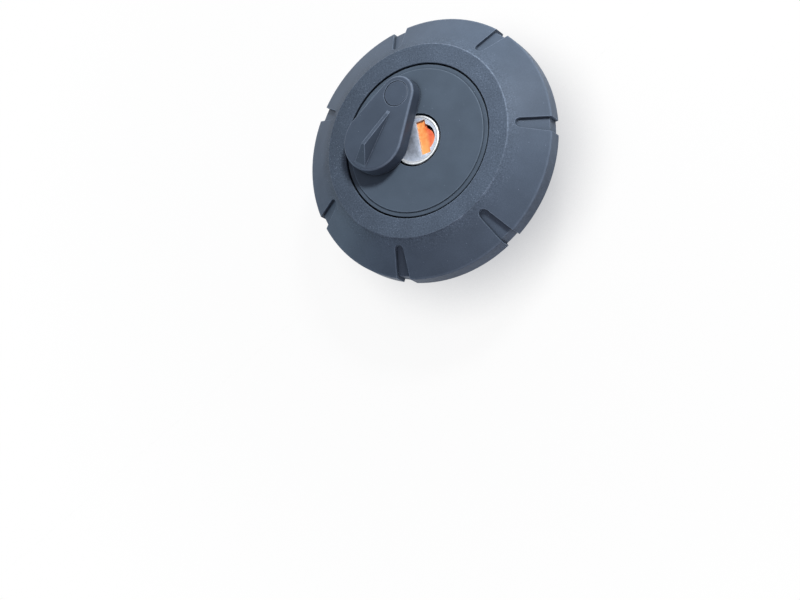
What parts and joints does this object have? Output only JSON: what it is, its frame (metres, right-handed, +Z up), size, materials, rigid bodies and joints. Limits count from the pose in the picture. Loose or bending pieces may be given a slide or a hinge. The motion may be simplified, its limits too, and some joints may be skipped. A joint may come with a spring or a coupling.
{
  "type": "fuel filler cap",
  "caption": "Round locking fuel filler cap with a grooved hand grip, a swing cover over the lock and a bayonet plug below.",
  "frame": {"origin": "on the cap's axis, at the bottom face of the plug that the cap rests on", "axes": "+Z up the cap's axis, out of its face; a finger groove lies on -Y; the bayonet ears lie on +X and -X"},
  "size_m": [0.09, 0.0899, 0.0454],
  "materials": {
    "grip_plastic": "satin moulded plastic, fine grain on the flat ring",
    "disc_plastic": "satin moulded plastic",
    "cover_plastic": "satin moulded plastic",
    "black_plastic": "plain moulded plastic",
    "white_plastic": "smooth bearing plastic",
    "orange_plastic": "smooth moulded plastic",
    "bright_chrome": "bright plated",
    "zinc_alloy": "die cast, fine brushed face",
    "screw_steel": "zinc plated",
    "spring_steel": "drawn wire and strip",
    "valve_aluminium": "turned",
    "valve_brass": "stamped and turned",
    "seal_rubber": "moulded nitrile rubber"
  },
  "bodies": {
    "core": {"insert_cup": "black_plastic", "main_gasket": "seal_rubber", "glide_ring": "white_plastic", "centre_disc": "disc_plastic", "lock_bezel": "bright_chrome", "lock_housing": "zinc_alloy", "bolt_carrier": "black_plastic", "carrier_lid": "black_plastic", "core_screws": "screw_steel", "bottom_cover": "black_plastic", "bottom_screws": "screw_steel", "cover_seal": "seal_rubber", "pressure_spring": "spring_steel"},
    "grip": {"grip_shell": "grip_plastic"},
    "swing_cover": {"dust_cover": "cover_plastic", "cover_pivot_pin": "cover_plastic", "cover_spring_washer": "spring_steel", "cover_retaining_clip": "spring_steel"},
    "plug": {"lock_plug": "zinc_alloy", "lock_cam": "zinc_alloy", "cam_screw": "screw_steel", "shutter_pin": "screw_steel", "shutter_spring": "spring_steel", "wafer_springs": "spring_steel"},
    "shutter": {"key_shutter": "orange_plastic"},
    "bolt_1": {"lock_bolt_1": "zinc_alloy"},
    "bolt_2": {"lock_bolt_2": "zinc_alloy"},
    "pressure_plate": {"pressure_valve": "valve_aluminium", "valve_seal": "seal_rubber", "vacuum_spring": "spring_steel"},
    "vacuum_disc": {"vacuum_valve": "valve_brass", "vacuum_keeper": "spring_steel"},
    "wafer_1_slider": {"wafer_1": "valve_brass"},
    "wafer_2_slider": {"wafer_2": "valve_brass"},
    "wafer_3_slider": {"wafer_3": "valve_brass"},
    "wafer_4_slider": {"wafer_4": "valve_brass"},
    "wafer_5_slider": {"wafer_5": "valve_brass"},
    "wafer_6_slider": {"wafer_6": "valve_brass"}
  },
  "joints": [
    {"name": "grip_spin", "type": "hinge", "parent": "core", "child": "grip", "pos_m": [0, 0, 0.022], "axis": [0, 0, 1], "continuous": true},
    {"name": "cover_swing", "type": "hinge", "parent": "core", "child": "swing_cover", "pos_m": [-0.00775, 0.01395, 0.036], "axis": [0, 0, 1], "range_deg": [-33, 49.3]},
    {"name": "plug_turn", "type": "hinge", "parent": "core", "child": "plug", "pos_m": [0, 0, 0.03], "axis": [0, 0, 1], "range_deg": [0, 90]},
    {"name": "bolt_1_slide", "type": "slide", "parent": "core", "child": "bolt_1", "axis": [1, 0, 0], "range_m": [0, 0.00261]},
    {"name": "bolt_2_slide", "type": "slide", "parent": "core", "child": "bolt_2", "axis": [-1, 0, 0], "range_m": [0, 0.00261]},
    {"name": "shutter_flap", "type": "hinge", "parent": "plug", "child": "shutter", "pos_m": [-0.00014, -0.00006, 0.03445], "axis": [-0.3939, 0.9191, 0], "range_deg": [0, 75], "stiffness_Nm_per_rad": 0.00002, "springref_deg": -28.65},
    {"name": "pressure_lift", "type": "slide", "parent": "core", "child": "pressure_plate", "axis": [0, 0, 1], "range_m": [0, 0.0012], "stiffness_N_per_m": 200, "springref_m": -0.003, "deforming": ["pressure_spring"]},
    {"name": "vacuum_drop", "type": "slide", "parent": "pressure_plate", "child": "vacuum_disc", "axis": [0, 0, -1], "range_m": [0, 0.0008], "stiffness_N_per_m": 20, "springref_m": -0.002, "deforming": ["vacuum_spring"]},
    {"name": "wafer_1_slide", "type": "slide", "parent": "plug", "child": "wafer_1_slider", "axis": [0.3939, -0.9191, 0], "range_m": [-0.0007, 0], "stiffness_N_per_m": 40, "springref_m": -0.002},
    {"name": "wafer_2_slide", "type": "slide", "parent": "plug", "child": "wafer_2_slider", "axis": [0.3939, -0.9191, 0], "range_m": [-0.0007, 0], "stiffness_N_per_m": 40, "springref_m": -0.002},
    {"name": "wafer_3_slide", "type": "slide", "parent": "plug", "child": "wafer_3_slider", "axis": [0.3939, -0.9191, 0], "range_m": [-0.0007, 0], "stiffness_N_per_m": 40, "springref_m": -0.002},
    {"name": "wafer_4_slide", "type": "slide", "parent": "plug", "child": "wafer_4_slider", "axis": [0.3939, -0.9191, 0], "range_m": [-0.0007, 0], "stiffness_N_per_m": 40, "springref_m": -0.002},
    {"name": "wafer_5_slide", "type": "slide", "parent": "plug", "child": "wafer_5_slider", "axis": [0.3939, -0.9191, 0], "range_m": [-0.0007, 0], "stiffness_N_per_m": 40, "springref_m": -0.002},
    {"name": "wafer_6_slide", "type": "slide", "parent": "plug", "child": "wafer_6_slider", "axis": [0.3939, -0.9191, 0], "range_m": [-0.0007, 0], "stiffness_N_per_m": 40, "springref_m": -0.002}
  ],
  "couplings": [
    {"joint": "bolt_1_slide", "follows": "plug_turn", "m_per_rad": 0.0016552},
    {"joint": "bolt_2_slide", "follows": "plug_turn", "m_per_rad": 0.0016552}
  ]
}
